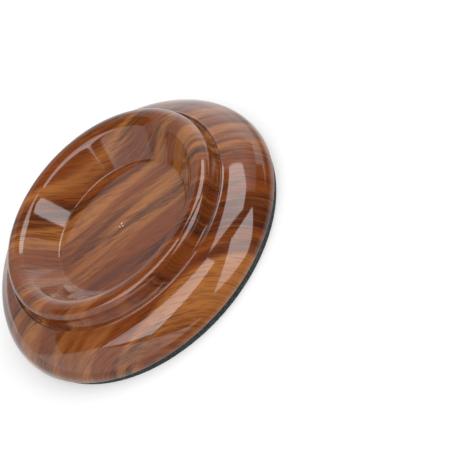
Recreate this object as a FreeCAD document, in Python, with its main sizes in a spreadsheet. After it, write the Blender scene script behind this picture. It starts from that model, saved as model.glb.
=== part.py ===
"""Castor cup: a round moulded cup with a dished top, standing on a glued foam pad.

Frame: millimetres, +Z up, the origin at the centre of the pad's underside.
The castor stands on the flat dish floor; the rim and the skirt go round it.
"""
import FreeCAD, Part
import os

import Sketcher

# Driving sizes, in millimetres unless the name says otherwise
SIZES = {
    # the whole cup
    "base_radius": 55.0,
    "total_height": 23.4,
    "wall": 3.0,
    # foam pad
    "pad_thickness": 3.2,
    "pad_inset": 1.3,
    # skirt: a low arc that stands upright on the base and a flatter arc tangent to it
    "skirt_low_radius": 9.3,
    "skirt_centre_inset": 8.0,
    "skirt_centre_drop": 4.2,
    # groove between the skirt's shoulder and the neck
    "groove_width": 0.9,
    "groove_depth": 0.75,
    # neck, a hollow curve from the groove up to the rim's outer crest
    "neck_flare": 1.0,
    "neck_curve": 10.0,
    # rim bead
    "rim_outer_radius": 41.2,
    "rim_width": 6.4,
    "crown_inset": 3.3,
    "crest_drop": 2.45,
    "dish_edge_drop": 0.85,
    # dish
    "floor_radius": 25.6,
    "floor_height": 12.2,
    # hollow underside: where the core bends under the skirt, and the ribs that meet at the axis
    "core_bend_inset": 4.5,
    "rib_count": 8,
    "rib_thickness": 2.0,
}

# Sizes that follow from the driving ones
FOLLOWING = {
    "pad_radius": "base_radius - pad_inset",
    "crown_radius": "rim_outer_radius - crown_inset",
    "crest_height": "total_height - crest_drop",
    "dish_radius": "rim_outer_radius - rim_width",
    "dish_edge_height": "total_height - dish_edge_drop",
    # the bead's two arcs meet level at the crown
    "bead_outer_curve": "(crown_inset ^ 2 + crest_drop ^ 2) / (2 * crest_drop)",
    "bead_inner_run": "rim_width - crown_inset",
    "bead_inner_curve": "(bead_inner_run ^ 2 + dish_edge_drop ^ 2) / (2 * dish_edge_drop)",
    # centres of the skirt's two arcs, and the point where they meet
    "skirt_low_centre": "base_radius - skirt_low_radius",
    "skirt_top_centre": "skirt_low_centre - skirt_centre_inset",
    "skirt_top_centre_height": "pad_thickness - skirt_centre_drop",
    "skirt_centre_gap": "sqrt(skirt_centre_inset ^ 2 + skirt_centre_drop ^ 2)",
    "skirt_top_radius": "skirt_low_radius + skirt_centre_gap",
    "skirt_join_radius": "skirt_low_centre + skirt_low_radius * skirt_centre_inset / skirt_centre_gap",
    "skirt_join_height": "pad_thickness + skirt_low_radius * skirt_centre_drop / skirt_centre_gap",
    # groove and shoulder
    "groove_radius": "rim_outer_radius + neck_flare",
    "shoulder_radius": "groove_radius + groove_width",
    "shoulder_height": "skirt_top_centre_height"
                       " + sqrt(skirt_top_radius ^ 2 - (shoulder_radius - skirt_top_centre) ^ 2)",
    "groove_height": "shoulder_height - groove_depth",
    # slope of the dish wall, for the hollow under it
    "dish_run": "dish_radius - floor_radius",
    "dish_rise": "dish_edge_height - floor_height",
    "dish_mitre": "(sqrt(dish_run ^ 2 + dish_rise ^ 2) - dish_run) / dish_rise",
    # ribs reach halfway into the wall that they stand on
    "rib_root": "wall / 2",
}

# The underside at a given depth below the outer surface. Under the skirt the core has two straight
# tapers, whose ends lie at that depth: at the base, at the core's bend and under the neck. From there
# it tapers up into the rim, and comes down again behind the dish wall.
UNDERSIDE = {
    "base": "base_radius - {depth}",
    "curve": "skirt_top_radius - {depth}",
    "bend": "{name}_base - core_bend_inset",
    "bend_height": "skirt_top_centre_height + sqrt({name}_curve ^ 2 - ({name}_bend - skirt_top_centre) ^ 2)",
    "neck": "rim_outer_radius - {depth}",
    "neck_height": "skirt_top_centre_height + sqrt({name}_curve ^ 2 - ({name}_neck - skirt_top_centre) ^ 2)",
    "rim_height": "dish_edge_height - {depth}",
    "floor_height": "floor_height - {depth}",
    "floor": "floor_radius + {depth} * dish_mitre",
    "rim": "{name}_floor + ({name}_rim_height - {name}_floor_height) * dish_run / dish_rise",
}
for name, depth in (("hollow", "wall"), ("rib", "rib_root")):
    for part_name, formula in UNDERSIDE.items():
        FOLLOWING[name + "_" + part_name] = formula.format(name=name, depth=depth)

# The hollowed cup holds at most this share of the solid form's volume
HOLLOW_SHARE = 0.8
FULL_TURN = 360.0


def write_sheet(doc):
    """Put every size in the sheet, one row each, under its own name."""
    sheet = doc.addObject("Spreadsheet::Sheet", "Sizes")
    formulas = {alias: "=" + formula for alias, formula in FOLLOWING.items()}
    rows = {**{alias: str(value) for alias, value in SIZES.items()}, **formulas}
    for row, alias in enumerate(rows, start=1):
        sheet.set("A%d" % row, alias)
        sheet.setAlias("B%d" % row, alias)
    for row, content in enumerate(rows.values(), start=1):
        sheet.set("B%d" % row, content)
    doc.recompute()
    return sheet


def origin_part(body, role):
    """One of the body's own origin planes or axes."""
    return next(item for item in body.Origin.OriginFeatures if item.Role == role)


def new_sketch(body, name, role):
    """An empty sketch on one of the body's origin planes."""
    sketch = body.newObject("Sketcher::SketchObject", name)
    sketch.AttachmentSupport = (origin_part(body, role), [""])
    sketch.MapMode = "FlatFace"
    return sketch


def bind(sketch, constraint, alias):
    """Add a constraint and let a size in the sheet drive it."""
    index = sketch.addConstraint(constraint)
    sketch.setExpression("Constraints[%d]" % index, "Sizes." + alias)


def arc_between(start, end, radius, bulge):
    """The short arc from start to end, its centre on the side that the bulge gives."""
    chord = end - start
    middle = (start + end) / 2
    across = FreeCAD.Vector(-chord.y, chord.x, 0.0).normalize()
    centre = middle + across * (bulge * (radius ** 2 - (chord.Length / 2) ** 2) ** 0.5)
    on_arc = centre + (middle - centre).normalize() * radius
    return Part.Arc(start, on_arc, end)


def draw_loop(sketch, sheet, corners):
    """Draw one closed outline from corners (radius, height, curve, bulge).

    Radius and height name sizes in the sheet, and None as the radius puts the corner on the axis.
    The curve names the radius of the arc that leads to the next corner, and None gives a straight
    side. The bulge is +1 where that arc's centre lies to the left of the way to the next corner
    and -1 where it lies to the right.
    """
    def place(corner):
        radius = 0.0 if corner[0] is None else sheet.get(corner[0])
        return FreeCAD.Vector(radius, sheet.get(corner[1]), 0.0)

    sides = []
    for corner, following in zip(corners, corners[1:] + corners[:1]):
        start = place(corner)
        end = place(following)
        if corner[2] is None:
            geometry = Part.LineSegment(start, end)
        else:
            geometry = arc_between(start, end, sheet.get(corner[2]), corner[3])
        sides.append(sketch.addGeometry(geometry, False))

    def ends(side, corner):
        """The point numbers of a side's start and end: an arc is always stored anticlockwise."""
        clockwise = corner[2] is not None and corner[3] < 0
        return (side, 2, 1) if clockwise else (side, 1, 2)

    numbered = [ends(side, corner) for side, corner in zip(sides, corners)]
    for this, following in zip(numbered, numbered[1:] + numbered[:1]):
        sketch.addConstraint(Sketcher.Constraint("Coincident", this[0], this[2], following[0], following[1]))
    for (side, first, _), corner in zip(numbered, corners):
        radius, height, curve, _ = corner
        if radius is None:
            sketch.addConstraint(Sketcher.Constraint("PointOnObject", side, first, -2))
        else:
            bind(sketch, Sketcher.Constraint("DistanceX", -1, 1, side, first, sheet.get(radius)), radius)
        bind(sketch, Sketcher.Constraint("DistanceY", -1, 1, side, first, sheet.get(height)), height)
        if curve is not None:
            bind(sketch, Sketcher.Constraint("Radius", side, sheet.get(curve)), curve)


def revolve(body, sketch, kind, name):
    """Turn a profile all the way round the cup's axis."""
    feature = body.newObject("PartDesign::" + kind, name)
    feature.Profile = sketch
    feature.ReferenceAxis = (sketch, ["V_Axis"])
    feature.Angle = FULL_TURN
    return feature


def underside(name):
    """The outline under the dish, rim and skirt at one depth, from the axis out to the base."""
    return [
        (None, "pad_thickness", None, 0),
        (name + "_base", "pad_thickness", None, 0),
        (name + "_bend", name + "_bend_height", None, 0),
        (name + "_neck", name + "_neck_height", None, 0),
        (name + "_rim", name + "_rim_height", None, 0),
        (name + "_floor", name + "_floor_height", None, 0),
        (None, name + "_floor_height", None, 0),
    ]


def make_cup(doc, sheet):
    """The moulded cup: the turned outer form, the hollow under it and the ribs that stiffen it."""
    body = doc.addObject("PartDesign::Body", "cup")

    outline = new_sketch(body, "outer_profile", "XZ_Plane")
    draw_loop(outline, sheet, [
        (None, "pad_thickness", None, 0),
        ("base_radius", "pad_thickness", "skirt_low_radius", 1),
        ("skirt_join_radius", "skirt_join_height", "skirt_top_radius", 1),
        ("shoulder_radius", "shoulder_height", None, 0),
        ("groove_radius", "groove_height", "neck_curve", -1),
        ("rim_outer_radius", "crest_height", "bead_outer_curve", 1),
        ("crown_radius", "total_height", "bead_inner_curve", 1),
        ("dish_radius", "dish_edge_height", None, 0),
        ("floor_radius", "floor_height", None, 0),
        (None, "floor_height", None, 0),
    ])
    form = revolve(body, outline, "Revolution", "outer_form")
    doc.recompute()

    hollow = new_sketch(body, "hollow_profile", "XZ_Plane")
    draw_loop(hollow, sheet, underside("hollow"))
    cored = revolve(body, hollow, "Groove", "hollow")
    doc.recompute()
    if cored.Shape.Volume > HOLLOW_SHARE * form.Shape.Volume:
        raise RuntimeError("the hollow cut too little")

    rib_outline = new_sketch(body, "rib_profile", "XZ_Plane")
    draw_loop(rib_outline, sheet, underside("rib"))
    rib = body.newObject("PartDesign::Pad", "rib")
    rib.Profile = rib_outline
    rib.Midplane = True
    rib.setExpression("Length", "Sizes.rib_thickness")
    doc.recompute()
    ribs = body.newObject("PartDesign::PolarPattern", "ribs")
    ribs.Originals = [rib]
    ribs.Axis = (rib_outline, ["V_Axis"])
    ribs.Angle = FULL_TURN
    ribs.setExpression("Occurrences", "Sizes.rib_count")
    body.Tip = ribs
    return body


def make_foam_pad(doc, sheet):
    """The foam disc glued to the base, cut square from sheet."""
    body = doc.addObject("PartDesign::Body", "foam_pad")
    outline = new_sketch(body, "pad_outline", "XY_Plane")
    radius = sheet.get("pad_radius")
    circle = outline.addGeometry(Part.Circle(FreeCAD.Vector(), FreeCAD.Vector(0, 0, 1), radius), False)
    outline.addConstraint(Sketcher.Constraint("Coincident", circle, 3, -1, 1))
    bind(outline, Sketcher.Constraint("Radius", circle, radius), "pad_radius")
    disc = body.newObject("PartDesign::Pad", "disc")
    disc.Profile = outline
    disc.setExpression("Length", "Sizes.pad_thickness")
    return body


def check(doc):
    """Stop if any object failed or any feature has no valid shape."""
    for item in doc.Objects:
        if "Invalid" in item.State or "Error" in item.State:
            raise RuntimeError("failed: " + item.Name)
        if item.isDerivedFrom("PartDesign::Feature") and (item.Shape.isNull() or not item.Shape.isValid()):
            raise RuntimeError("no valid shape: " + item.Name)


def main():
    """Build both pieces, check them and write one file each."""
    doc = FreeCAD.newDocument("castor_cup")
    sheet = write_sheet(doc)
    bodies = [make_cup(doc, sheet), make_foam_pad(doc, sheet)]
    doc.recompute()
    check(doc)
    os.makedirs("parts", exist_ok=True)
    for body in bodies:
        shape = body.Shape
        if shape.isNull() or not shape.isValid() or len(shape.Solids) != 1:
            raise RuntimeError("not one valid solid: " + body.Label)
        shape.exportStep(os.path.join("parts", body.Label + ".step"))
        print(body.Label, "volume %.1f mm3" % shape.Volume)


main()
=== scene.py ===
"""Castor cup: a moulded cup with a wood-grain print under clear lacquer, on a glued foam pad."""

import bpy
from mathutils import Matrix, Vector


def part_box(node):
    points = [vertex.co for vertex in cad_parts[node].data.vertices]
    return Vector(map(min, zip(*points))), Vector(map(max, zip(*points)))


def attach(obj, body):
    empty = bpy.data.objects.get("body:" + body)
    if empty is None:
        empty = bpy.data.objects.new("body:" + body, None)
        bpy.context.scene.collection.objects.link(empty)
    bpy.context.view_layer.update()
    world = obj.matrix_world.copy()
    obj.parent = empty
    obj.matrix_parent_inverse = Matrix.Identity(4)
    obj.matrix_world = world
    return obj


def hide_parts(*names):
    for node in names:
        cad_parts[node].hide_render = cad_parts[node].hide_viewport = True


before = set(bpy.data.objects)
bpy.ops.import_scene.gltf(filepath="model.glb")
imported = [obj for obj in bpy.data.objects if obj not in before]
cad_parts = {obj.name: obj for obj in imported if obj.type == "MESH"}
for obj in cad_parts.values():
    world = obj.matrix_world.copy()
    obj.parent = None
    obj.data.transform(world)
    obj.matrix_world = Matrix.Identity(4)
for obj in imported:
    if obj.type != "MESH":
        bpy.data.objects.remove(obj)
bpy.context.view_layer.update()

import math

import bmesh
import bpy
import numpy as np
from mathutils import Matrix, Vector

bl_info = {
    "name": "Castor Cup",
    "version": (1, 0, 0),
    "blender": (4, 5, 0),
    "location": "View3D > Sidebar > Castor Cup",
    "description": "Builds a castor cup with its wood-grain print, its foam pad and a plain studio",
    "category": "Add Mesh",
}

MM = 0.001
CUP_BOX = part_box("cup")
PAD_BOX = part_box("foam_pad")


def linear(code):
    """Scene-linear colour of an sRGB hex code."""
    parts = np.array([int(code[k:k + 2], 16) for k in (1, 3, 5)]) / 255
    low, high = parts / 12.92, ((parts + 0.055) / 1.055) ** 2.4
    return tuple(float(v) for v in np.where(parts <= 0.04045, low, high))


def length(name, millimetres, description):
    """A length that the sidebar shows, with its default in millimetres."""
    return bpy.props.FloatProperty(name=name, description=description, default=millimetres * MM, min=0.0,
                                   precision=4, subtype="DISTANCE", unit="LENGTH")


def angle(name, degrees, description):
    """An angle that the sidebar shows, with its default in degrees."""
    return bpy.props.FloatProperty(name=name, description=description, default=math.radians(degrees),
                                   subtype="ANGLE", unit="ROTATION")


def share(name, value, description):
    """A plain share from nothing to all."""
    return bpy.props.FloatProperty(name=name, description=description, default=value, min=0.0, max=1.0,
                                   subtype="FACTOR")


def brightness(name, value, description):
    """A brightness or strength that the sidebar shows."""
    return bpy.props.FloatProperty(name=name, description=description, default=value, min=0.0)


def colour(name, code, description):
    """A colour that the sidebar shows, with its default as an sRGB hex code."""
    return bpy.props.FloatVectorProperty(name=name, description=description, default=linear(code), size=3,
                                         min=0.0, max=1.0, subtype="COLOR")


class CupSettings(bpy.types.PropertyGroup):
    """Sizes of the turned form and the look of its print."""

    floor_radius: length("Floor radius", 25.8, "Radius of the flat floor that the castor stands on")
    floor_height: length("Floor height", 12.2, "Height of that floor above the room's floor")
    floor_fillet: length("Floor fillet", 1.5, "Hollow round where the floor meets the dish wall")
    rim_radius: length("Rim radius", 41.2, "Outer radius of the rim bead")
    rim_width: length("Rim width", 6.4, "Width of the rim bead from the dish to its outer edge")
    crown_inset: length("Crown inset", 3.3, "How far the bead's crown lies inside its outer edge")
    crest_drop: length("Crest drop", 2.45, "How far the bead's outer edge lies under its crown")
    dish_edge_drop: length("Dish edge drop", 0.55, "How far the bead's inner edge lies under its crown")
    dish_edge_round: length("Dish edge round", 5.0, "Round on the bead's inner edge")
    crest_round: length("Crest round", 0.7, "Round on the bead's outer edge")
    neck_flare: length("Neck flare", 1.0, "How much wider the hollow neck is at its foot")
    neck_curve: length("Neck curve", 7.0, "Radius of the neck's hollow")
    groove_width: length("Groove width", 0.9, "Width of the groove round the neck's foot")
    groove_depth: length("Groove depth", 0.75, "Depth of the groove round the neck's foot")
    groove_foot: length("Groove foot", 0.25, "Hollow round at the bottom of the groove")
    shoulder_round: length("Shoulder round", 0.6, "Round where the skirt starts beside the groove")
    lip_height: length("Lip height", 0.2, "Height of the fine lip on that round")
    lip_width: length("Lip width", 0.33, "Half width of that lip")
    skirt_low_radius: length("Lower skirt curve", 9.3, "Radius of the skirt's tighter lower curve")
    skirt_centre_inset: length("Skirt centre inset", 8.0,
                               "How far the upper curve's middle lies inside the lower's")
    skirt_centre_drop: length("Skirt centre drop", 4.2,
                              "How far the upper curve's middle lies under the lower's")
    base_round: length("Base round", 0.5, "Round on the lower outer edge")
    wall: length("Wall", 3.0, "Thickness of the moulded wall over the hollow underside")
    core_bend_inset: length("Core bend inset", 4.5, "How far the hollow's bend lies inside its lower edge")
    rib_count: bpy.props.IntProperty(name="Ribs", description="Ribs that meet under the floor",
                                     default=8, min=3)
    rib_thickness: length("Rib thickness", 2.0, "Thickness of each rib")
    gate_spread: length("Gate mark", 0.75, "Distance of the gate mark's three nubs from the axis")
    gate_height: length("Gate height", 0.4, "Height of the three nubs where the moulding gate was cut")
    grain_turn: angle("Grain direction", -31.6, "Direction in which the printed grain runs across the cup")
    band_width: length("Band width", 8.0, "Usual width of one broad light or dark band of the print")
    light_wood: colour("Light wood", "#B2703A", "Lightest colour of the print")
    middle_wood: colour("Middle wood", "#834119", "Main colour of the print")
    deep_wood: colour("Deep wood", "#5E2A1A", "Colour of the darker bands")
    dark_wood: colour("Dark wood", "#3E180D", "Colour of the dark growth lines and pores")
    # The colour below is a painted glint: near-white laid on the tips of the gate nubs, standing in for their
    # sparkle under the lights
    gate_glint: colour("Bare plastic", "#F4E6D6", "Colour of the plastic where the gate was cut off")
    gloss: share("Gloss roughness", 0.03, "Roughness of the lacquer, low for a clear reflection")


class PadSettings(bpy.types.PropertyGroup):
    """Sizes and colours of the foam pad."""

    edge_round: length("Edge round", 0.35, "Round that cutting leaves on the pad's edges")
    cell_size: length("Cell size", 0.35, "Usual width of one foam cell at the cut edge")
    pit_depth: length("Pit depth", 0.14, "Depth of the open cells along the cut edge")
    foam: colour("Foam", "#22282A", "Main colour of the foam")
    cell: colour("Cell edge", "#5E686C", "Colour of the lit edges of the cells")


class StageSettings(bpy.types.PropertyGroup):
    """The floor, the light panels and the camera."""

    floor: colour("Floor", "#CFCFCF", "Colour of the floor paper")
    panel_level: brightness("Panel level", 3.0, "Brightness of the light panels")
    card_level: brightness("Card level", 1.0, "Brightness of the white cards")
    fill_level: brightness("Fill level", 1.5, "Strength of the soft light without gloss")
    flag: colour("Card middle", "#2A2522", "Colour of the card that the skirt mirrors, in its dark middle")
    flag_edge: colour("Card edge", "#AEAEAE", "Colour of that card where it is pale")
    flag_ring: colour("Card ring", "#E0E0E0", "Colour of that card in a ring round the pad")
    floor_glow: share("Floor glow", 0.42, "What the floor adds to its own light to read as white")
    room: colour("Room", "#3A3A3A", "Colour of the dim room around")
    elevation: angle("Elevation", 39.437, "Height of the camera above the cup's own plane")
    roll: angle("Roll", 48.272, "How far the camera is turned about its own axis")
    distance: length("Distance", 732.5, "Distance of the camera from the cup's middle")
    lens: bpy.props.FloatProperty(name="Lens", description="Focal length on a 36 mm sensor", default=165.58,
                                  min=1.0, subtype="DISTANCE_CAMERA")
    aim: bpy.props.FloatVectorProperty(name="Aim", description="Where the cup's middle lies in the picture",
                                       default=(0.30411, 0.52015), size=2, min=0.0, max=1.0)


# Turned profiles

PROFILE_STEPS = 1200
LONGEST_STEP = 0.9 * MM
SHARPEST_STEP = math.radians(6)
SECTOR_COLUMNS = 40
HOLLOW_STEPS = 7
# Times that the columns of a grid are halved towards the axis
HALVINGS = 3
# Radii of the rows that carry the gate mark, directions of its nubs, and their half width in gate spreads
GATE_ROWS = np.linspace(0.0, 1.6, 17) * MM
GATE_TURNS = np.radians([55, 160, 280])
NUB_WIDTH = 0.45
# The pad's cut edge: its sharpest step, points across each flat face, and how random values become pits
CUT_SHARPEST = math.radians(15)
FLAT_STEPS = 8
PIT_SEED = 7
PIT_GAIN = 2
PIT_START = 0.7
MERGE_DISTANCE = 2e-7
CREASE = math.radians(40)


def arc_about(middle, start, end):
    """Points of the shorter arc about a middle from start to end."""
    first = math.atan2(*(start - middle)[::-1])
    last = math.atan2(*(end - middle)[::-1])
    turn = (last - first + math.pi) % (2 * math.pi) - math.pi
    angles = first + turn * np.linspace(0, 1, PROFILE_STEPS)
    reach = np.hypot(*(start - middle))
    return middle + reach * np.column_stack([np.cos(angles), np.sin(angles)])


def curve_between(start, end, radius=None, side=1):
    """Points from start to end: a straight line, or an arc of the radius with its middle on the given
    side."""
    start, end = np.array(start), np.array(end)
    if radius is None:
        return np.linspace(start, end, PROFILE_STEPS)
    chord = end - start
    across = np.array([-chord[1], chord[0]]) / np.hypot(*chord)
    middle = (start + end) / 2 + across * side * math.sqrt(radius ** 2 - (chord @ chord) / 4)
    return arc_about(middle, start, end)


def left_normals(points):
    """Unit normals to the left of a run of points."""
    along = np.gradient(points, axis=0)
    along /= np.hypot(*along.T)[:, None]
    return np.column_stack([-along[:, 1], along[:, 0]])


def round_corner(before, after, radius):
    """Trims two curves that meet and joins them by an arc that touches both: its middle is where the two
    curves, each moved sideways by the radius, come closest."""
    first, last = left_normals(before), left_normals(after)
    side = math.copysign(1, first[-1, 0] * last[0, 1] - first[-1, 1] * last[0, 0])
    from_before = before + side * radius * first
    from_after = after + side * radius * last
    gaps = np.linalg.norm(from_before[:, None] - from_after[None], axis=2)
    i, j = np.unravel_index(gaps.argmin(), gaps.shape)
    middle = (from_before[i] + from_after[j]) / 2
    return before[:i], arc_about(middle, before[i], after[j]), after[j + 1:]


def joined(curves, rounds):
    """One run of points through the curves, with the corners between them rounded."""
    run = [curves[0]]
    for curve, radius in zip(curves[1:], rounds):
        run[-1:] = round_corner(run[-1], curve, radius) if radius else [run[-1], curve[1:]]
    return np.vstack(run)


def evened(points, longest, sharpest):
    """The same run with points spread by both length and turn, so that tight rounds get more of them."""
    steps = np.diff(points, axis=0)
    headings = np.unwrap(np.arctan2(steps[:, 1], steps[:, 0]))
    turns = np.abs(np.diff(headings, prepend=headings[0]))
    measure = np.concatenate([[0], np.cumsum(np.hypot(*steps.T) / longest + turns / sharpest)])
    wanted = np.linspace(0, measure[-1], int(measure[-1]) + 2)
    return np.column_stack([np.interp(wanted, measure, points[:, k]) for k in range(2)])


def skirt_arcs(s):
    """The skirt's two arcs, which touch where they meet: the upper one's middle and radius, the lower one's
    middle, and the direction from there to the meeting point."""
    low_middle = np.array([CUP_BOX[1].x - s.skirt_low_radius, CUP_BOX[0].z])
    apart = np.array([s.skirt_centre_inset, s.skirt_centre_drop])
    return low_middle - apart, s.skirt_low_radius + np.hypot(*apart), low_middle, apart / np.hypot(*apart)


def height_on(middle, radius, at):
    """Height of the upper half of a circle at a distance from the axis."""
    return middle[1] + math.sqrt(radius ** 2 - (at - middle[0]) ** 2)


def cup_profile(s):
    """The cup's outside from the middle of its floor over the rim to its base, as radius and height: lines
    and arcs joined by rounds. The lip adds its height times e to the power of minus the squared distance
    from the shoulder over its half width."""
    base, foot, top = CUP_BOX[1].x, CUP_BOX[0].z, CUP_BOX[1].z
    corner = (s.floor_radius, s.floor_height)
    dish_edge = (s.rim_radius - s.rim_width, top - s.dish_edge_drop)
    crown = (s.rim_radius - s.crown_inset, top)
    crest = (s.rim_radius, top - s.crest_drop)
    inner_curve = ((s.rim_width - s.crown_inset) ** 2 + s.dish_edge_drop ** 2) / (2 * s.dish_edge_drop)
    outer_curve = (s.crown_inset ** 2 + s.crest_drop ** 2) / (2 * s.crest_drop)
    high_middle, high_radius, low_middle, along = skirt_arcs(s)
    join = low_middle + along * s.skirt_low_radius
    groove_r = s.rim_radius + s.neck_flare
    shoulder_r = groove_r + s.groove_width
    shoulder = (shoulder_r, height_on(high_middle, high_radius, shoulder_r))
    groove = (groove_r, shoulder[1] - s.groove_depth)
    curves = [
        curve_between((0.0, s.floor_height), corner),
        curve_between(corner, dish_edge),
        curve_between(dish_edge, crown, inner_curve, -1),
        curve_between(crown, crest, outer_curve, -1),
        curve_between(crest, groove, s.neck_curve, 1),
        curve_between(groove, shoulder),
        curve_between(shoulder, join, high_radius, -1),
        curve_between(join, (base, foot), s.skirt_low_radius, -1),
        curve_between((base, foot), (base - s.wall / 2, foot)),
    ]
    rounds = [s.floor_fillet, s.dish_edge_round, 0, s.crest_round,
              s.groove_foot, s.shoulder_round, 0, s.base_round]
    run = joined(curves, rounds)
    beside = (run[:, 0] - shoulder_r) / s.lip_width
    run[:, 1] += s.lip_height * np.exp(-beside ** 2) * (run[:, 0] > groove_r) * (run[:, 1] > groove[1])
    run = evened(run, LONGEST_STEP, SHARPEST_STEP)
    gate = np.column_stack([GATE_ROWS, np.full(len(GATE_ROWS), s.floor_height)])
    return np.vstack([gate, run[run[:, 0] > GATE_ROWS[-1] + LONGEST_STEP / 2]])


def hollow_profile(s):
    """The hollow underside from its lower edge up into the rim, down behind the dish wall and in to where
    the ribs' sides meet, as radius and height, one wall thickness under the outside."""
    foot, top = CUP_BOX[0].z, CUP_BOX[1].z
    high_middle, high_radius = skirt_arcs(s)[:2]
    edge = CUP_BOX[1].x - s.wall
    bend, neck = edge - s.core_bend_inset, s.rim_radius - s.wall
    run = s.rim_radius - s.rim_width - s.floor_radius
    rise = top - s.dish_edge_drop - s.floor_height
    inner = s.floor_radius + s.wall * (math.hypot(run, rise) - run) / rise
    ceiling = s.floor_height - s.wall
    meeting = s.rib_thickness / 2 / math.sin(math.pi / s.rib_count)
    points = [
        (edge, foot),
        (bend, height_on(high_middle, high_radius - s.wall, bend)),
        (neck, height_on(high_middle, high_radius - s.wall, neck)),
        (inner + run, ceiling + rise),
        (inner, ceiling),
        (meeting, ceiling),
    ]
    stretches = [np.linspace(a, b, HOLLOW_STEPS)[:-1] for a, b in zip(points[:-1], points[1:])]
    return np.vstack([*stretches, points[-1:]])


# Surfaces


def turned(radii, heights, angles):
    """Points at the radii and heights, turned about the axis by the angles, which spread over a grid."""
    radii, heights, angles = np.broadcast_arrays(radii, heights, angles)
    return np.stack([radii * np.cos(angles), radii * np.sin(angles), heights], axis=-1)


def thinned(count, radii, full):
    """Column numbers round the axis for each row of a grid. Outside the full radius all are used, and inside
    it, each time the radius halves, twice as many share one point, so that no slivers meet at the axis."""
    halvings = np.ceil(np.log2(full / np.maximum(radii, full / 2 ** HALVINGS))).clip(0, HALVINGS)
    group = (2 ** halvings).astype(int)
    return np.arange(count + 1) // group * group


def grid_faces(rows, columns, start=0):
    """Corner numbers of the quads between the points of a grid whose first point has the start number."""
    index = start + np.arange(rows * columns).reshape(rows, columns)
    corners = [index[:-1, :-1], index[1:, :-1], index[1:, 1:], index[:-1, 1:]]
    return np.stack(corners, axis=-1).reshape(-1, 4)


def closed_mesh(name, sheets):
    """One mesh of grids of points, each a sheet of quads, with the points where sheets meet merged, so that
    seams and poles close, and the faces turned outwards."""
    points, faces, start = [], [], 0
    for sheet in sheets:
        faces.append(grid_faces(*sheet.shape[:2], start))
        points.append(sheet.reshape(-1, 3))
        start += len(points[-1])
    mesh = bpy.data.meshes.new(name)
    mesh.from_pydata(np.vstack(points).tolist(), [], np.vstack(faces).tolist())
    work = bmesh.new()
    work.from_mesh(mesh)
    bmesh.ops.remove_doubles(work, verts=work.verts, dist=MERGE_DISTANCE)
    bmesh.ops.recalc_face_normals(work, faces=work.faces)
    work.to_mesh(mesh)
    work.free()
    used = np.empty(len(mesh.loops), dtype=np.int32)
    mesh.loops.foreach_get("edge_index", used)
    loose = np.count_nonzero(np.bincount(used, minlength=len(mesh.edges)) != 2)
    if loose:
        raise RuntimeError(f"{name} has {loose} edges without two faces")
    mesh.shade_smooth()
    mesh.set_sharp_from_angle(angle=CREASE)
    return mesh


def cup_sheets(s):
    """The cup's surface as grids of radius, height and angle. The outside is its profile carried round the
    axis. Under it each bay between two ribs is the hollow's profile carried from one rib's flat side to the
    next: at each radius the side stands off the rib's middle by the angle whose sine is half the rib's
    thickness over that radius."""
    outside, hollow, foot = cup_profile(s), hollow_profile(s), CUP_BOX[0].z
    sector = 2 * math.pi / s.rib_count
    bays = sector * np.arange(s.rib_count)[:, None]
    around = thinned(s.rib_count * SECTOR_COLUMNS, outside[:, :1], s.floor_radius) + 1
    shell = turned(outside[:, :1], outside[:, 1:], around * sector / SECTOR_COLUMNS)
    shell[..., 2] += gate_mark(s, shell)
    radii, heights = hollow[:, :1], hollow[:, 1:]
    side = np.arcsin(s.rib_thickness / 2 / radii)
    across = np.linspace(0, 1, SECTOR_COLUMNS - 1)
    inner_ring = (bays + np.append(side[0] + (sector - 2 * side[0]) * across, sector)).ravel()
    base = np.stack([shell[-1], turned(hollow[0, 0], foot, np.append(inner_ring, inner_ring[0]))])
    sheets = [shell, base]
    to_axis = np.vstack([radii, [[0.0]]])
    rib_side = np.vstack([side, side[-1:]])
    for bay in bays[:, 0]:
        sheets.append(turned(radii, heights, bay + side + (sector - 2 * side) * across))
        sheets.append(turned(to_axis, foot, bay + rib_side * np.array([-1, 0, 1])))
        for edge in (bay + side, bay + sector - side):
            sheets.append(turned(radii, np.hstack([heights, np.full_like(heights, foot)]), edge))
    return sheets


def gate_mark(s, points):
    """Height of the three nubs where the moulding gate was cut off: each is its full height times e to the
    power of minus the squared distance from its middle over its half width."""
    height = np.zeros(points.shape[:2])
    for turn in GATE_TURNS:
        beside = points[..., 0] - s.gate_spread * math.cos(turn)
        behind = points[..., 1] - s.gate_spread * math.sin(turn)
        apart = np.hypot(beside, behind)
        height += s.gate_height * np.exp(-(apart / (NUB_WIDTH * s.gate_spread)) ** 2)
    return height


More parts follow.
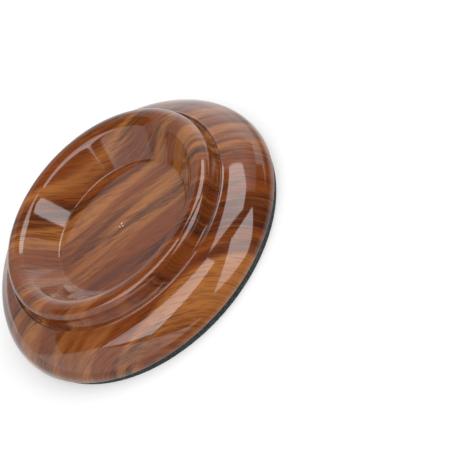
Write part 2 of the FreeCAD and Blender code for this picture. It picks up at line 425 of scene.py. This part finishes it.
def pad_sheets(s):
    """The foam disc: a rounded rectangle carried round the axis, with its cut side pitted by open cells. The
    pits are random values on the grid of height and angle, each averaged with its neighbours, and they only
    lower the side."""
    radius, foot, top = PAD_BOX[1].x, PAD_BOX[0].z, PAD_BOX[1].z
    corners = [(0.0, top), (radius, top), (radius, foot), (0.0, foot)]
    sides = [curve_between(corners[k], corners[k + 1]) for k in range(3)]
    outline = joined(sides, [s.edge_round] * 2)
    cut = outline[:, 0] > radius - s.edge_round
    first, last = np.flatnonzero(cut)[[0, -1]]
    edge = evened(outline[first:last + 1], s.cell_size / 2, CUT_SHARPEST)
    flat = np.linspace(0, 1, FLAT_STEPS)[:, None]
    upper = outline[0] + (edge[0] - outline[0]) * flat[:-1]
    lower = edge[-1] + (outline[-1] - edge[-1]) * flat[1:]
    run = np.vstack([upper, edge, lower])
    group = 2 ** HALVINGS
    count = int(2 * math.pi * radius / s.cell_size * 2 / group) * group
    rough = np.random.default_rng(PIT_SEED).random((len(run), count))
    rough = (rough + np.roll(rough, 1, 0) + np.roll(rough, 1, 1) + np.roll(rough, 1, (0, 1))) / 4
    on_side = run[:, :1] > radius - s.edge_round
    pits = s.pit_depth * np.clip(rough * PIT_GAIN - PIT_START, 0, 1) * on_side
    pits = np.hstack([pits, pits[:, :1]])
    around = thinned(count, run[:, :1], radius - s.edge_round)
    return [turned(run[:, :1] - pits, run[:, 1:].clip(foot, top), around * 2 * math.pi / count)]


def placed(mesh, material):
    """A new object of the mesh in the scene, with its material."""
    mesh.materials.append(material)
    piece = bpy.data.objects.new(mesh.name, mesh)
    bpy.context.collection.objects.link(piece)
    return piece


# Materials

# The printed layers, from the broadest to the finest: length of their streaks in millimetres, width in band
# widths, lean from the grain in degrees, where on the endless pattern they start, the noise values between
# which a streak fades in, how much it covers, and which of the print's colours it has. The broad ones lie
# evenly, and the fine ones gather where the last broad one is dark. The finest are drawn a little over a
# pixel of the render wide, because thinner ones would not show.
BROAD_LAYERS = (
    (100.0, 1.20, 18, 3716, (0.46, 0.64), 0.85, "light_wood"),
    (80.0, 0.90, 14, 1528, (0.52, 0.68), 0.80, "deep_wood"),
    (60.0, 0.80, 12, 5111, (0.53, 0.70), 0.75, "dark_wood"),
)
FINE_LAYERS = (
    (30.0, 0.20, 4, 3080, (0.48, 0.75), 0.35, "light_wood"),
    (11.0, 0.09, 2, 3850, (0.50, 0.68), 0.62, "dark_wood"),
    (5.0, 0.05, 0, 5130, (0.50, 0.64), 0.60, "dark_wood"),
)
STREAK_DETAIL = 2.0
# The print's slow sway across its grain: length and width of its waves, and where on the pattern they start
SWAY_LONG = 60 * MM
SWAY_WIDE = 22 * MM
SWAY_START = 310
# The noise values of the last broad layer between which the fine ones gather, and their share elsewhere
GATHER_FROM = 0.4
GATHER_TO = 0.62
GATHER_LEAST = 0.4
# Shares of the nubs' height between which the painted glint shows, and how far out in gate spreads
GLINT_FROM = 0.4
GLINT_TO = 0.8
GLINT_REACH = 3
PRINT_RELIEF = 0.004 * MM
# The random cell values between which a cell of the foam turns into a pale speck
SPECK_FROM = 0.6
SPECK_TO = 0.9
FOAM_RELIEF = 0.12 * MM


def add(tree, kind, sockets=None, **settings):
    """Adds a node with its properties, and gives each named socket a plain value or a link."""
    node = tree.nodes.new(kind)
    for key, value in settings.items():
        setattr(node, key, value)
    for key, value in (sockets or {}).items():
        if isinstance(value, bpy.types.NodeSocket):
            tree.links.new(value, node.inputs[key])
        else:
            node.inputs[key].default_value = value
    return node


def fresh(name):
    """A new material with an empty node tree."""
    material = bpy.data.materials.new(name)
    material.use_nodes = True
    material.node_tree.nodes.clear()
    return material, material.node_tree


def rgba(value):
    """A colour with full alpha."""
    return (*value, 1.0)


def streaks(tree, film, long, wide, lean, detail, seed):
    """A noise whose features have the given length and width on the film and lean from its grain."""
    at = add(tree, "ShaderNodeMapping", {
        "Vector": film, "Location": (seed * MM, seed * MM, 0.0),
        "Rotation": (0.0, 0.0, math.radians(lean)), "Scale": (long, wide, 1.0)}, vector_type="TEXTURE")
    noise = add(tree, "ShaderNodeTexNoise", {"Vector": at.outputs[0], "Scale": 1.0, "Detail": detail})
    return noise.outputs[0]


def printed(tree, film, s, under, layer, gathered):
    """One layer of the print over what lies under it: its colour, and the noise that gave its streaks."""
    long, wide, lean, start, (low, high), cover, key = layer
    noise = streaks(tree, film, long * MM, wide * s.band_width, lean, STREAK_DETAIL, start)
    amount = add(tree, "ShaderNodeMapRange", {
        "Value": noise, "From Min": low, "From Max": high, "To Max": cover},
        interpolation_type="SMOOTHSTEP")
    covered = add(tree, "ShaderNodeMath", {0: amount.outputs[0], 1: gathered}, operation="MULTIPLY")
    over = rgba(getattr(s, key))
    mixed = add(tree, "ShaderNodeMix", {0: covered.outputs[0], 6: under, 7: over}, data_type="RGBA")
    return mixed.outputs[2], noise


def lacquered_print(s):
    """ABS with a wood-grain film laid on in a dipping bath, then lacquered. Seen from above the grain is
    straight, and it draws out down the steep sides; the clear coat mirrors the lights sharply."""
    material, tree = fresh("ABS_wood_grain_film_lacquered")
    place = add(tree, "ShaderNodeTexCoord").outputs["Object"]
    flat = add(tree, "ShaderNodeMapping", {"Vector": place, "Rotation": (0.0, 0.0, -s.grain_turn),
                                           "Scale": (1.0, 1.0, 0.0)}).outputs[0]
    sway = add(tree, "ShaderNodeCombineXYZ", {
        "Y": streaks(tree, flat, SWAY_LONG, SWAY_WIDE, 0, 1.0, SWAY_START)})
    film = add(tree, "ShaderNodeVectorMath", {0: sway.outputs[0], 1: (0.0, s.band_width, 0.0), 2: flat},
               operation="MULTIPLY_ADD").outputs[0]
    wood = rgba(s.middle_wood)
    for layer in BROAD_LAYERS:
        wood, noise = printed(tree, film, s, wood, layer, 1.0)
    gathered = add(tree, "ShaderNodeMapRange", {
        "Value": noise, "From Min": GATHER_FROM, "From Max": GATHER_TO, "To Min": GATHER_LEAST})
    for layer in FINE_LAYERS:
        wood, noise = printed(tree, film, s, wood, layer, gathered.outputs[0])
    height = add(tree, "ShaderNodeSeparateXYZ", {0: place}).outputs["Z"]
    # Painted glint: near the axis, the nubs' tips above a share of their height are mixed to a near-white
    # colour
    glint_tips = add(tree, "ShaderNodeMapRange", {
        "Value": height, "From Min": s.floor_height + GLINT_FROM * s.gate_height,
        "From Max": s.floor_height + GLINT_TO * s.gate_height})
    from_axis = add(tree, "ShaderNodeVectorMath", {0: flat}, operation="LENGTH").outputs["Value"]
    near = add(tree, "ShaderNodeMath", {0: from_axis, 1: GLINT_REACH * s.gate_spread}, operation="LESS_THAN")
    cut = add(tree, "ShaderNodeMath", {0: glint_tips.outputs[0], 1: near.outputs[0]}, operation="MULTIPLY")
    wood = add(tree, "ShaderNodeMix", {0: cut.outputs[0], 6: wood, 7: rgba(s.gate_glint)},
               data_type="RGBA").outputs[2]
    relief = add(tree, "ShaderNodeBump", {"Height": noise, "Strength": 1.0, "Distance": PRINT_RELIEF})
    shader = add(tree, "ShaderNodeBsdfPrincipled", {
        "Base Color": wood, "Normal": relief.outputs[0], "Coat Normal": relief.outputs[0],
        "Roughness": 0.07, "IOR": 1.5, "Coat Weight": 1.0, "Coat Roughness": s.gloss, "Coat IOR": 1.5})
    add(tree, "ShaderNodeOutputMaterial", {"Surface": shader.outputs[0]})
    return material


def die_cut_foam(s):
    """Black EVA foam, die-cut from sheet: matt, with some cut cells catching the light as specks. The cells
    are drawn about a pixel of the render wide, because finer ones would not show."""
    material, tree = fresh("EVA_foam_black_die_cut")
    place = add(tree, "ShaderNodeTexCoord").outputs["Object"]
    cells = add(tree, "ShaderNodeTexVoronoi", {"Vector": place, "Scale": 1 / s.cell_size}, feature="F1")
    specks = add(tree, "ShaderNodeMapRange", {
        "Value": cells.outputs["Color"], "From Min": SPECK_FROM, "From Max": SPECK_TO})
    tone = add(tree, "ShaderNodeMix", {0: specks.outputs[0], 6: rgba(s.foam), 7: rgba(s.cell)},
               data_type="RGBA")
    relief = add(tree, "ShaderNodeBump", {
        "Height": cells.outputs["Distance"], "Strength": 0.7, "Distance": FOAM_RELIEF})
    shader = add(tree, "ShaderNodeBsdfPrincipled", {
        "Base Color": tone.outputs[2], "Normal": relief.outputs[0], "Roughness": 0.65, "IOR": 1.48})
    add(tree, "ShaderNodeOutputMaterial", {"Surface": shader.outputs[0]})
    return material


def white_paper(s):
    """Matt white paper: it keeps the cup's soft shadow, and its own glow makes it read as white."""
    material, tree = fresh("paper_white_matt")
    light = add(tree, "ShaderNodeLightPath").outputs
    mirrored = add(tree, "ShaderNodeMath", {0: light["Is Glossy Ray"], 1: light["Is Transmission Ray"]},
                   operation="MAXIMUM")
    seen = add(tree, "ShaderNodeMath", {0: mirrored.outputs[0], 1: light["Is Camera Ray"]},
               operation="MAXIMUM")
    strength = add(tree, "ShaderNodeMath", {0: seen.outputs[0], 1: s.floor_glow}, operation="MULTIPLY")
    matt = add(tree, "ShaderNodeBsdfDiffuse", {"Color": rgba(s.floor)})
    glow = add(tree, "ShaderNodeEmission", {"Strength": strength.outputs[0]})
    both = add(tree, "ShaderNodeAddShader", {0: matt.outputs[0], 1: glow.outputs[0]})
    add(tree, "ShaderNodeOutputMaterial", {"Surface": both.outputs[0]})
    return material


def glowing(name, level):
    """White cloth or card that glows, as bright at each point as the sheet's own levels say."""
    material, tree = fresh(name)
    fall = add(tree, "ShaderNodeAttribute", attribute_name=LEVEL)
    strength = add(tree, "ShaderNodeMath", {0: fall.outputs["Fac"], 1: level}, operation="MULTIPLY")
    sheet = add(tree, "ShaderNodeEmission", {"Strength": strength.outputs[0]})
    add(tree, "ShaderNodeOutputMaterial", {"Surface": sheet.outputs[0]})
    return material


def graded_card(s):
    """Glowing card, dark on one side, pale on the other, at the back and in a ring at the pad: the skirt
    mirrors it as full colour that hazes over, with a thin bright line along the base."""
    material, tree = fresh("card_graded")
    place = add(tree, "ShaderNodeTexCoord").outputs["Object"]
    tone = rgba(s.flag)
    for middle, (start, end), key in FLAG_GRADES:
        away = add(tree, "ShaderNodeVectorMath", {0: place, 1: middle}, operation="DISTANCE")
        grade = add(tree, "ShaderNodeMapRange", {
            "Value": away.outputs["Value"], "From Min": start, "From Max": end},
            interpolation_type="SMOOTHSTEP")
        tone = add(tree, "ShaderNodeMix", {0: grade.outputs[0], 6: tone, 7: rgba(getattr(s, key))},
                   data_type="RGBA").outputs[2]
    glow = add(tree, "ShaderNodeEmission", {"Color": tone})
    add(tree, "ShaderNodeOutputMaterial", {"Surface": glow.outputs[0]})
    return material


# Stage

# Each light panel's corners, in degrees right of and above the camera as seen from the cup, with the share of
# the full brightness that its cloth has there
PANELS = {
    "left_panel": ((-62, -15, 0.55), (-26, -18, 0.9), (0, 26, 0.8), (-15, 35, 0.75)),
    "overhead_panel": ((-16, 38, 0.7), (20, 53, 0.95), (20, 82, 1.0), (-18, 80, 1.0)),
    "right_panel": ((20, -8, 0.55), (52, 12, 0.8), (38, 51, 1.0), (12.5, 36, 0.95)),
    "backdrop": ((22, 64, 0.22), (40, 62, 0.1), (38, 115, 0.1), (-25, 112, 0.22)),
}
# Each white card's corners in metres and the share of the full brightness there
CARDS = {
    "back_card_left": (((-6, 2, 0), (-0.1, 2, 0), (-0.1, 2, 2.2), (-6, 2, 2.2)), (0.25, 0.25, 0.4, 0.4)),
    "back_card_middle": (((-0.1, 2, 0), (0.35, 2, 0), (0.35, 2, 2.2), (-0.1, 2, 2.2)), (0.25, 1.0, 0.4, 0.4)),
    "back_card_right": (((0.35, 2, 0), (4, 0.7, 0), (4, 0.7, 3.2), (0.35, 2, 2.2)), (1.0, 0.8, 0.4, 0.4)),
    "side_card": (((-0.3, -2, 0), (-0.3, 0.2, 0), (-2.3, 0.2, 2), (-2.3, -2, 2)), (1.2, 0.6, 0.6, 1.2)),
}
LEVEL = "level"
# The grades of the card on the floor that the skirt mirrors: for each a middle, the distances from there at
# which it starts and ends, and the colour that it ends in
FLAG_GRADES = (
    ((1.48, -1.34, 0.0), (1.958, 1.988), "flag_edge"),
    ((0.4, 0.75, 0.0), (0.84, 0.78), "flag_ring"),
    ((0.0, 0.0, 0.0), (0.072, 0.056), "flag_ring"),
)
PANEL_DISTANCE = 3.0
FLOOR_REACH = 6.0
# The floor lies a hair over the pad's underside, so that the pad shows from below, with the card over it
FLOOR_HEIGHT = 0.00005
FLAG_HEIGHT = 0.0002
SENSOR = 36.0
SHEET_STEPS = 9
FILL_SPREAD = math.radians(120)
FILL_TURN = (math.radians(8), 0.0, 0.0)


def camera_turn(s):
    """The camera's rotation, which puts the cup's middle on its place in the picture at the elevation and
    roll, and the direction from the camera to that middle."""
    half = SENSOR / 2 / s.lens
    aim = Vector(((2 * s.aim[0] - 1) * half, (1 - 2 * s.aim[1]) * half, -1.0)).normalized()
    up = Vector((-math.sin(s.roll), math.cos(s.roll), 0.0))
    up = (up - aim * up.dot(aim)).normalized()
    seen = Matrix((aim, up, aim.cross(up)))
    look = Vector((0.0, math.cos(s.elevation), -math.sin(s.elevation)))
    rise = Vector((0.0, math.sin(s.elevation), math.cos(s.elevation)))
    return Matrix((look, rise, look.cross(rise))).transposed() @ seen, look


def beside_camera(right, up):
    """Direction from the cup at so many degrees right of and above the camera, in the camera's axes."""
    away, clock = math.radians(math.hypot(right, up)), math.atan2(up, right)
    return Vector((math.sin(away) * math.cos(clock), math.sin(away) * math.sin(clock), math.cos(away)))


def level_square(height):
    """Corners of a level square sheet over the whole floor."""
    return [(x * FLOOR_REACH, y * FLOOR_REACH, height) for x, y in ((-1, -1), (1, -1), (1, 1), (-1, 1))]


def stage_sheet(name, corners, material, levels=(1, 1, 1, 1)):
    """A sheet of the stage through its four corners: a grid on which place and level go evenly across."""
    steps = np.linspace(0, 1, SHEET_STEPS)
    along, across = np.meshgrid(steps, steps, indexing="ij")
    weights = np.stack([(1 - along) * (1 - across), along * (1 - across),
                        along * across, (1 - along) * across], axis=-1)
    points = weights @ np.array([tuple(corner) for corner in corners])
    mesh = bpy.data.meshes.new(name)
    mesh.from_pydata(points.reshape(-1, 3).tolist(), [], grid_faces(SHEET_STEPS, SHEET_STEPS).tolist())
    spread = (weights @ np.array(levels)).ravel()
    mesh.attributes.new(LEVEL, "FLOAT", "POINT").data.foreach_set("value", spread)
    piece = placed(mesh, material)
    return piece


# Operators


class CASTORCUP_OT_cup(bpy.types.Operator):
    """Build the moulded cup with its print and lacquer"""

    bl_idname = "castor_cup.make_cup"
    bl_label = "Make Cup"

    def execute(self, context):
        s = context.scene.castor_cup
        cup = placed(closed_mesh("cup_body", cup_sheets(s)), lacquered_print(s))
        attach(cup, "root")
        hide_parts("cup")
        return {"FINISHED"}


class CASTORCUP_OT_pad(bpy.types.Operator):
    """Build the foam pad under the cup"""

    bl_idname = "castor_cup.make_pad"
    bl_label = "Make Foam Pad"

    def execute(self, context):
        s = context.scene.castor_cup_pad
        pad = placed(closed_mesh("foam_pad_disc", pad_sheets(s)), die_cut_foam(s))
        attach(pad, "root")
        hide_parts("foam_pad")
        return {"FINISHED"}


class CASTORCUP_OT_stage(bpy.types.Operator):
    """Build the floor, the light panels and the camera"""

    bl_idname = "castor_cup.make_stage"
    bl_label = "Make Stage"

    def execute(self, context):
        s = context.scene.castor_cup_stage
        turn, look = camera_turn(s)
        stage_sheet("floor", level_square(FLOOR_HEIGHT), white_paper(s))
        cloth = glowing("softbox_cloth", s.panel_level)
        sheets = []
        for name, corners in PANELS.items():
            places = [turn @ beside_camera(*corner[:2]) * PANEL_DISTANCE for corner in corners]
            sheets.append(stage_sheet(name, places, cloth, [corner[2] for corner in corners]))
        card = glowing("card_white", s.card_level)
        for name, (corners, levels) in CARDS.items():
            sheets.append(stage_sheet(name, corners, card, levels))
        flag = stage_sheet("flag", level_square(FLAG_HEIGHT), graded_card(s))
        flag.visible_diffuse = False
        flag.visible_shadow = False
        for sheet in [*sheets, flag]:
            sheet.visible_camera = False
        fill = bpy.data.lights.new("fill", "SUN")
        fill.energy = s.fill_level
        fill.angle = FILL_SPREAD
        lamp = bpy.data.objects.new("fill", fill)
        lamp.rotation_euler = FILL_TURN
        lamp.visible_glossy = False
        context.collection.objects.link(lamp)
        world = bpy.data.worlds.new("dim_room")
        world.use_nodes = True
        world.node_tree.nodes["Background"].inputs["Color"].default_value = rgba(s.room)
        context.scene.world = world
        camera = bpy.data.cameras.new("camera")
        camera.sensor_width = SENSOR
        camera.lens = s.lens
        eye = bpy.data.objects.new("camera", camera)
        eye.matrix_world = Matrix.Translation(-look * s.distance) @ turn.to_4x4()
        context.collection.objects.link(eye)
        context.scene.camera = eye
        context.scene.view_settings.view_transform = "Standard"
        return {"FINISHED"}


class CASTORCUP_PT_sidebar(bpy.types.Panel):
    """Castor cup settings and operators"""

    bl_idname = "CASTORCUP_PT_sidebar"
    bl_label = "Castor Cup"
    bl_space_type = "VIEW_3D"
    bl_region_type = "UI"
    bl_category = "Castor Cup"

    def draw(self, context):
        for operator, group in STEPS:
            box = self.layout.box()
            settings = getattr(context.scene, group)
            for key in settings.__annotations__:
                box.prop(settings, key)
            box.operator(operator.bl_idname)


STEPS = [
    (CASTORCUP_OT_cup, "castor_cup"),
    (CASTORCUP_OT_pad, "castor_cup_pad"),
    (CASTORCUP_OT_stage, "castor_cup_stage"),
]
GROUPS = {"castor_cup": CupSettings, "castor_cup_pad": PadSettings, "castor_cup_stage": StageSettings}
CLASSES = [*GROUPS.values(), *(operator for operator, _ in STEPS), CASTORCUP_PT_sidebar]


def register():
    for item in CLASSES:
        bpy.utils.register_class(item)
    for key, group in GROUPS.items():
        setattr(bpy.types.Scene, key, bpy.props.PointerProperty(type=group))


def unregister():
    for key in GROUPS:
        delattr(bpy.types.Scene, key)
    for item in reversed(CLASSES):
        bpy.utils.unregister_class(item)


def main():
    """Builds every piece and the stage."""
    register()
    bpy.ops.castor_cup.make_cup()
    bpy.ops.castor_cup.make_pad()
    bpy.ops.castor_cup.make_stage()


if __name__ == "__main__":
    main()
